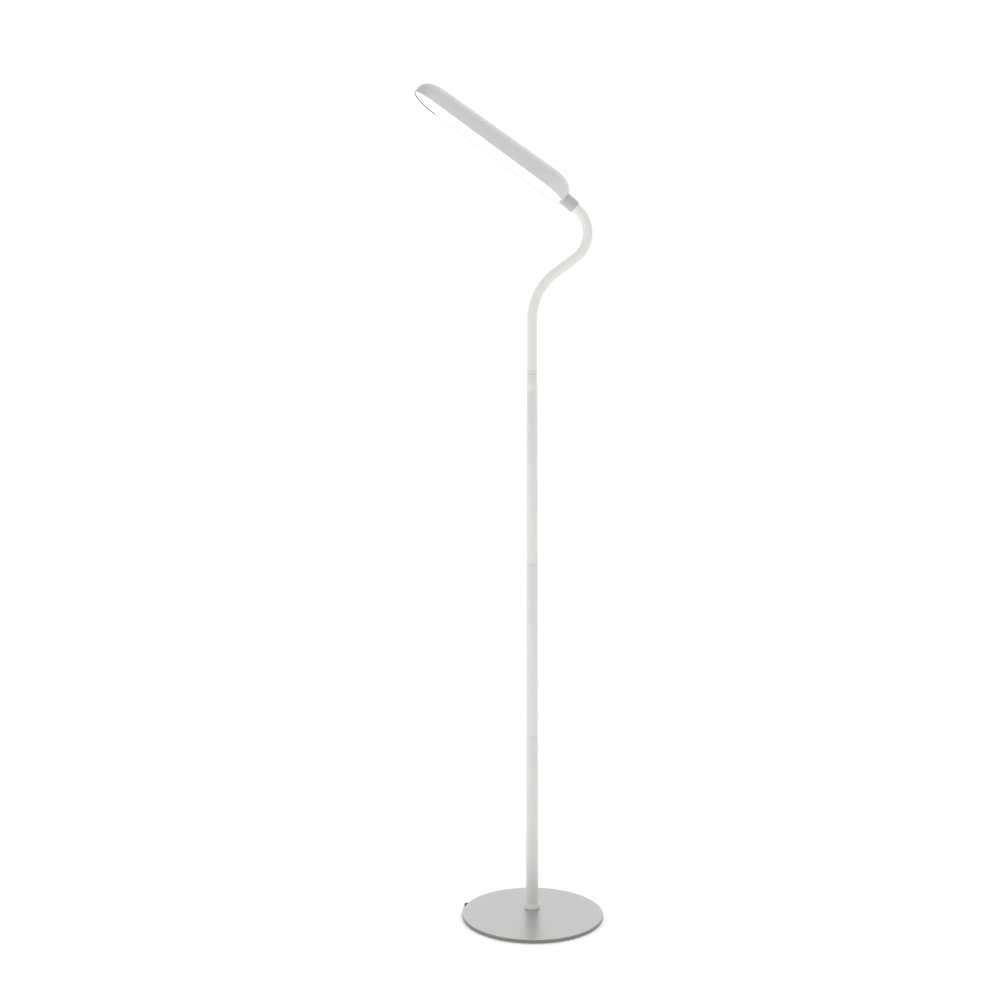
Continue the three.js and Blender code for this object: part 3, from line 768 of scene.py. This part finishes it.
silicone = sleeve_silicone()
hinges = len(frame["joints"])
hinge_step = (neck_length - FIRST_HINGE - LAST_HINGE_BACK) / (hinges - 1)
cuts = [bead_top - ferrule_high + SLEEVE_GAP]
cuts += [FIRST_HINGE + (i + 0.5) * hinge_step for i in range(hinges - 1)]
cuts += [neck_length - SLEEVE_GAP]
for number, joint in enumerate(frame["joints"], 1):
    sleeve = neck.copy()
    sleeve.data = neck.data.copy()
    sleeve.name = f"neck_sleeve_{number}"
    bpy.context.scene.collection.objects.link(sleeve)
    in_edit(sleeve)
    for cut, side in ((cuts[number - 1], "clear_inner"), (cuts[number], "clear_outer")):
        at, way = neck_line(cut)
        bpy.ops.mesh.select_all(action="SELECT")
        bpy.ops.mesh.bisect(plane_co=at, plane_no=way, use_fill=True, **{side: True})
    tidy_normals(sleeve)
    smooth(sleeve, 50)
    sleeve.data.materials.append(silicone)
    hinge_at, hinge_way = neck_line(FIRST_HINGE + (number - 1) * hinge_step)
    links = [f"neck_link_{number - 1}"] + (["neck_link_9"] if number == hinges else [])
    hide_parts(*links)
    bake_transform(sleeve)
bpy.data.objects.remove(neck)

# ---------------------------------------------------------------- neck collar
# A short light grey ABS sleeve nut that grips the end of the neck and enters the low end of the
# head from underneath. It is injection moulded, with a rounded mouth.
COLLAR_R = 11 * MM
COLLAR_L = 27.5 * MM
COLLAR_START = 0.3 * MM
COLLAR_MOUTH = 1.4 * MM
COLLAR_PLAY = 0.2 * MM
COLLAR_RECESS = 1.2 * MM  # the sleeve ends in it
GREY = "#bfbfbe"
GREY_DEEP = "#b9b9b8"
end_at, end_way = neck_line(neck_length)
deselect()
bpy.ops.mesh.primitive_cylinder_add(
    vertices=96, radius=COLLAR_R, depth=COLLAR_L, location=(0, 0, COLLAR_START + COLLAR_L / 2)
)
collar = bpy.context.object
collar.name = "neck_collar_moulding"
at_origin(collar)
in_edit(collar)
choose(collar, "FACE", lambda f: f.normal.z < -0.9)
bpy.ops.mesh.inset(thickness=COLLAR_R - NECK_R - COLLAR_PLAY)
bpy.ops.mesh.extrude_region_move(TRANSFORM_OT_translate={"value": (0, 0, COLLAR_RECESS)})
bpy.ops.mesh.select_mode(type="EDGE")


def mouth_edge(edge):
    """The outer edge of the collar's low end."""
    return all(
        v.co.z < COLLAR_START + 0.01 * MM and v.co.xy.length > NECK_R + 1 * MM for v in edge.verts
    )


choose(collar, "EDGE", mouth_edge)
bpy.ops.mesh.bevel(offset=COLLAR_MOUTH, segments=4)
tidy_normals(collar)
collar.rotation_euler = (0, math.atan2(end_way.x, end_way.z), 0)
collar.location = end_at
at_origin(collar)
smooth(collar)
# Grey ABS: a smooth satin grey, a shade darker than the white round it.
collar.data.materials.append(
    moulded(
        "moulded_grey_abs",
        GREY,
        GREY_DEEP,
        roughness=0.4,
        grain=0.5 * MM,
        depth=0.04 * MM,
    )
)
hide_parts("neck_collar")
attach(collar, "head")

# ---------------------------------------------------------------- head shell
# A long stadium-shaped cover injection moulded in white ABS, 2.2 mm thick, with a crowned top that
# is a little taller over the neck. Its upright lip holds the diffuser, and it is screwed to a tray.
HEAD_L = 320 * MM
HEAD_W = 86 * MM
TIP_H = 32.8 * MM
NECK_H = 38 * MM
HEAD_TILT = math.radians(36.4)
LIP_H = 4.6 * MM
SHELL_WALL = 2.2 * MM
DOME_POWER = 2.6  # 2 is an ellipse across the crown, and more makes its shoulders squarer
DOME_ROWS = 16
CREST_HALF = 1.5 * MM  # the rows close in to this far from the crown's middle line
HEAD_SIDES = 128
SIDE_CUTS = 40
LIP_EDGE = 0.5 * MM
COLLAR_BACK = 21 * MM  # from the end of the head to the middle of the collar's face
COLLAR_UP = 6.7 * MM
TIP_PAINTED_SHADE = "#161617"  # painted shade: a near black strip on the inside of the lip round the tip only, for the shadow line there
TIP_PAINTED_SHADE_PALE = "#222223"
ABS_WHITE = "#dadad9"
ABS_DEEP = "#d6d6d5"
head_turn = Matrix.Rotation(HEAD_TILT, 3, "Y")
head_at = end_at - head_turn @ Vector((COLLAR_BACK, 0, COLLAR_UP))


def stadium(name, width, height):
    """A flat face with round ends, with X from the head's tip to its neck end at 0."""
    deselect()
    turn = math.pi / HEAD_SIDES  # half a side, so that a side lies along each long edge
    bpy.ops.mesh.primitive_circle_add(
        vertices=HEAD_SIDES, radius=width / 2, fill_type="NGON", rotation=(0, 0, turn)
    )
    piece = bpy.context.object
    piece.name = name
    piece.location = (-HEAD_W / 2, 0, height)
    at_origin(piece)
    in_edit(piece, "VERT")
    choose(piece, "VERT", lambda v: v.co.x < -HEAD_W / 2)
    bpy.ops.transform.translate(value=(HEAD_W - HEAD_L, 0, 0))
    bpy.ops.mesh.select_mode(type="EDGE")
    choose(piece, "EDGE", lambda e: e.calc_length() > HEAD_L / 3)
    bpy.ops.mesh.subdivide(number_cuts=SIDE_CUTS)
    bpy.ops.mesh.select_mode(type="FACE")
    bpy.ops.mesh.select_all(action="SELECT")
    return piece


def to_head(piece):
    """Turns and moves a piece from the head's own frame to its place on the lamp."""
    piece.rotation_euler = (0, HEAD_TILT, 0)
    piece.location = head_at
    at_origin(piece)


shell = stadium("head_shell_moulding", HEAD_W, 0)
bpy.ops.mesh.extrude_region_move(TRANSFORM_OT_translate={"value": (0, 0, LIP_H)})
out, up = HEAD_W / 2, 0
for row in range(1, DOME_ROWS + 1):
    angle = math.pi / 2 * row / DOME_ROWS
    next_out = max(HEAD_W / 2 * math.cos(angle) ** (2 / DOME_POWER), CREST_HALF)
    next_up = (NECK_H - LIP_H) * math.sin(angle) ** (2 / DOME_POWER)
    bpy.ops.mesh.inset(thickness=out - next_out, depth=next_up - up, use_even_offset=True)
    out, up = next_out, next_up
choose(shell, "FACE", lambda f: f.calc_center_median().z < 0.01 * MM)
bpy.ops.mesh.delete(type="FACE")
tidy_normals(shell)
for corner in shell.data.vertices:
    share = max(corner.co.z - LIP_H, 0) / (NECK_H - LIP_H)
    corner.co.z += share * (NECK_H - TIP_H) * corner.co.x / HEAD_L
pick(shell)
wall = shell.modifiers.new("wall", "SOLIDIFY")
wall.thickness = SHELL_WALL
wall.offset = -1
bpy.ops.object.modifier_apply(modifier=wall.name)
in_edit(shell, "EDGE")
choose(
    shell,
    "EDGE",
    lambda e: all(v.co.z < 0.01 * MM for v in e.verts)
    and max(f.normal.z for f in e.link_faces) > -0.9,
)
bpy.ops.mesh.bevel(offset=LIP_EDGE, segments=3)
bpy.ops.object.mode_set(mode="OBJECT")
# Painted shade: the inner wall of the lip round the tip is coloured near black.
for face in shell.data.polygons:
    round_end = face.center + Vector((HEAD_L - HEAD_W / 2, 0, 0))
    inward = face.normal.dot(round_end) < 0 and face.center.z < LIP_H and abs(face.normal.z) < 0.5
    face.material_index = 1 if inward and round_end.x < 0 else 0
to_head(shell)
smooth(shell, 40)
# White ABS: an eggshell satin that rolls the light softly over the crown.
shell.data.materials.append(
    moulded(
        "moulded_white_abs",
        ABS_WHITE,
        ABS_DEEP,
        roughness=0.38,
        grain=0.8 * MM,
        depth=0.05 * MM,
    )
)
# The second finish, near black, is painted shade on the inside of the lip round the tip.
shell.data.materials.append(
    moulded(
        "black_painted_shade_at_tip",
        TIP_PAINTED_SHADE,
        TIP_PAINTED_SHADE_PALE,
        roughness=0.8,
        grain=0.6 * MM,
        depth=0.05 * MM,
    )
)
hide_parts("head_shell")
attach(shell, "head")

# ---------------------------------------------------------------- diffuser
# A 2.5 mm sheet of opal acrylic, laser cut and clipped inside the lip, lit from behind by two rows
# of LEDs. It is set back 1.5 mm from the edge of the lip.
DIFFUSER_T = 2.5 * MM
DIFFUSER_IN = 1.5 * MM
DIFFUSER_GAP = 0.5 * MM
DIFFUSER_EDGE = 0.4 * MM
OPAL = "#fbfaf6"
LIT = "#fff7ea"
LIGHT = 1.0  # over the LEDs, in the middle of the panel
LIGHT_AT_EDGE = 0.6
HAZE = 70 * MM  # faint clouds in the glow
diffuser = stadium("diffuser_panel", HEAD_W - 2 * (SHELL_WALL + DIFFUSER_GAP), DIFFUSER_IN)
bpy.ops.mesh.extrude_region_move(TRANSFORM_OT_translate={"value": (0, 0, DIFFUSER_T)})
tidy_normals(diffuser)
in_edit(diffuser, "EDGE")
choose(diffuser, "EDGE", end_edges(DIFFUSER_IN))
bpy.ops.mesh.bevel(offset=DIFFUSER_EDGE, segments=2)
bpy.ops.object.mode_set(mode="OBJECT")
to_head(diffuser)
smooth(diffuser, 40)
# Opal acrylic over LEDs: a milky glow, brightest down the middle, under a faint shine.
opal, tree, output = new_material("opal_acrylic_lit")
where = add_node(tree, "ShaderNodeTexCoord").outputs["Object"]
haze = add_node(tree, "ShaderNodeTexNoise", Vector=where, Scale=1 / HAZE, Detail=2)
tint = add_node(
    tree,
    "ShaderNodeMix",
    {"data_type": "RGBA"},
    _0=haze.outputs["Fac"],
    _6=linear(OPAL),
    _7=linear(LIT),
)
sideways = add_node(tree, "ShaderNodeSeparateXYZ", Vector=where).outputs["Y"]
off_middle = add_node(tree, "ShaderNodeMath", {"operation": "SUBTRACT"}, _0=sideways, _1=pole_at.y)
from_middle = add_node(tree, "ShaderNodeMath", {"operation": "ABSOLUTE"}, _0=off_middle.outputs[0])
lit = add_node(
    tree,
    "ShaderNodeMapRange",
    {"interpolation_type": "SMOOTHSTEP"},
    Value=from_middle.outputs[0],
    From_Min=HEAD_W / 4,
    From_Max=HEAD_W / 2,
    To_Min=LIGHT,
    To_Max=LIGHT_AT_EDGE,
)
shader = add_node(
    tree,
    "ShaderNodeBsdfPrincipled",
    Base_Color=linear(OPAL),
    Roughness=0.35,
    IOR=1.49,
    Emission_Color=tint.outputs[2],
    Emission_Strength=lit.outputs[0],
)
diffuser.data.materials.append(finished(opal, tree, output, shader))
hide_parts("diffuser")
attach(diffuser, "head")

# ---------------------------------------------------------------- LED tray and board
# A folded tray of 1.2 mm aluminium sheet stiffens the shell and cools the LEDs. The LED board is an
# aluminium-cored circuit board with a white mask, stuck under the tray with thermal tape.
SHEET = "#c8cacb"
SHEET_DARK = "#b3b6b8"
GRAIN_L = 45 * MM  # the length and the width of one rolling mark
GRAIN_W = 0.5 * MM
MASK_WHITE = "#f1f1ec"
MASK_SHADE = "#e6e6e0"
# Rolled aluminium: long fine streaks that stretch its reflections along the tray.
sheet, tree, output = new_material("rolled_aluminium_sheet")
where = add_node(tree, "ShaderNodeTexCoord").outputs["Object"]
along = add_node(tree, "ShaderNodeMapping", Vector=where, Rotation=(0, -HEAD_TILT, 0))
rolled = add_node(
    tree,
    "ShaderNodeMapping",
    Vector=along.outputs["Vector"],
    Scale=(1 / GRAIN_L, 1 / GRAIN_W, 1 / GRAIN_W),
)
marks = add_node(tree, "ShaderNodeTexNoise", Vector=rolled.outputs["Vector"], Scale=1, Detail=3)
tint = add_node(
    tree,
    "ShaderNodeMix",
    {"data_type": "RGBA"},
    _0=marks.outputs["Fac"],
    _6=linear(SHEET_DARK),
    _7=linear(SHEET),
)
shine = add_node(tree, "ShaderNodeMapRange", Value=marks.outputs["Fac"], To_Min=0.3, To_Max=0.46)
relief = add_node(
    tree, "ShaderNodeBump", Height=marks.outputs["Fac"], Strength=0.15, Distance=0.05 * MM
)
shader = add_node(
    tree,
    "ShaderNodeBsdfPrincipled",
    Base_Color=tint.outputs[2],
    Metallic=1.0,
    Roughness=shine.outputs[0],
    Normal=relief.outputs["Normal"],
)
carry(finished(sheet, tree, output, shader), "led_tray")
# White solder mask: a smooth, slightly glossy white that throws the light down.
carry(
    moulded(
        "white_solder_mask",
        MASK_WHITE,
        MASK_SHADE,
        roughness=0.35,
        grain=0.4 * MM,
        depth=0.02 * MM,
        grain_strength=0.1,
        coat=0.3,
    ),
    "led_board",
)

# ---------------------------------------------------------------- LEDs
# Two rows of small white LED packages soldered along the board: blue chips under yellow phosphor
# in silicone, which glow warm white when the lamp is on.
PHOSPHOR = "#f3dd8c"
PHOSPHOR_DEEP = "#e8c968"
GLOW = "#fff0cf"
LED_LIGHT = 3.0
PHOSPHOR_GRAIN = 0.6 * MM
# Lit phosphor: grainy yellow that glows warm white.
phosphor, tree, output = new_material("led_phosphor_lit")
where = add_node(tree, "ShaderNodeTexCoord").outputs["Object"]
grains = add_node(tree, "ShaderNodeTexVoronoi", Vector=where, Scale=1 / PHOSPHOR_GRAIN)
tint = add_node(
    tree,
    "ShaderNodeMix",
    {"data_type": "RGBA"},
    _0=grains.outputs["Distance"],
    _6=linear(PHOSPHOR),
    _7=linear(PHOSPHOR_DEEP),
)
shader = add_node(
    tree,
    "ShaderNodeBsdfPrincipled",
    Base_Color=tint.outputs[2],
    Roughness=0.3,
    IOR=1.41,
    Emission_Color=linear(GLOW),
    Emission_Strength=LED_LIGHT,
)
carry(finished(phosphor, tree, output, shader), "led_row_1", "led_row_2")

# ---------------------------------------------------------------- driver board
# The LED driver: a small fibreglass board with a green mask over its copper, with its choke,
# capacitor and chip soldered on. It is clipped over the tray, at the neck end.
MASK_GREEN = "#1f6b3f"
TRACE_GREEN = "#2f8a55"
TRACE = 1.6 * MM  # from one copper trace to the next
# Green mask over copper: lighter, raised traces under a clear gloss.
board, tree, output = new_material("green_solder_mask")
where = add_node(tree, "ShaderNodeTexCoord").outputs["Object"]
along = add_node(tree, "ShaderNodeMapping", Vector=where, Rotation=(0, -HEAD_TILT, 0))
traces = add_node(
    tree,
    "ShaderNodeTexVoronoi",
    {"distance": "MANHATTAN", "feature": "F1"},
    Vector=along.outputs["Vector"],
    Scale=1 / TRACE,
)
tint = add_node(
    tree,
    "ShaderNodeMix",
    {"data_type": "RGBA"},
    _0=traces.outputs["Distance"],
    _6=linear(TRACE_GREEN),
    _7=linear(MASK_GREEN),
)
relief = add_node(
    tree, "ShaderNodeBump", Height=traces.outputs["Distance"], Strength=0.2, Distance=0.05 * MM
)
shader = add_node(
    tree,
    "ShaderNodeBsdfPrincipled",
    Base_Color=tint.outputs[2],
    Roughness=0.4,
    Coat_Weight=0.4,
    Normal=relief.outputs["Normal"],
)
carry(finished(board, tree, output, shader), "driver_board")

# ---------------------------------------------------------------- screws, couplers and clamp
# The cold-formed and turned steel inside: the base's insert and screws, the pole's couplers, the
# clamp that holds the neck's end, and the tray's screws. All of it is bright zinc plated.
ZINC = "#b9bcc0"
ZINC_WARM = "#c4c0b4"
BLOOM = 6 * MM
# Bright zinc: a bluish mirror, clouded here and there by a warmer bloom.
spangle, tree, output = new_material("bright_zinc_plate")
where = add_node(tree, "ShaderNodeTexCoord").outputs["Object"]
bloom = add_node(tree, "ShaderNodeTexNoise", Vector=where, Scale=1 / BLOOM, Detail=4)
tint = add_node(
    tree,
    "ShaderNodeMix",
    {"data_type": "RGBA"},
    _0=bloom.outputs["Fac"],
    _6=linear(ZINC),
    _7=linear(ZINC_WARM),
)
shine = add_node(tree, "ShaderNodeMapRange", Value=bloom.outputs["Fac"], To_Min=0.24, To_Max=0.4)
shader = add_node(
    tree,
    "ShaderNodeBsdfPrincipled",
    Base_Color=tint.outputs[2],
    Metallic=1.0,
    Roughness=shine.outputs[0],
)
carry(
    finished(spangle, tree, output, shader),
    *("foot_insert", "coupler_lower", "coupler_upper", "neck_clamp"),
    *(f"base_screw_{i}" for i in (1, 2)),
    *(f"clamp_screw_{i}" for i in (1, 2)),
    *(f"tray_screw_{i}" for i in (1, 2, 3, 4)),
)

# ---------------------------------------------------------------- leads
# Round two-core lead with a soft PVC jacket. It runs in the groove under the plate, up the pole,
# through the coil of the neck and over the tray to the driver board.
LEAD_GREY = "#3a3a3c"
LEAD_BLACK = "#2b2b2d"
# Soft PVC: a dark grey jacket with a dull gloss.
carry(
    moulded(
        "soft_pvc_jacket",
        LEAD_GREY,
        LEAD_BLACK,
        roughness=0.42,
        grain=0.9 * MM,
        depth=0.03 * MM,
    ),
    "supply_lead",
    "head_lead",
    *(f"neck_lead_{i}" for i in range(1, hinges)),
)
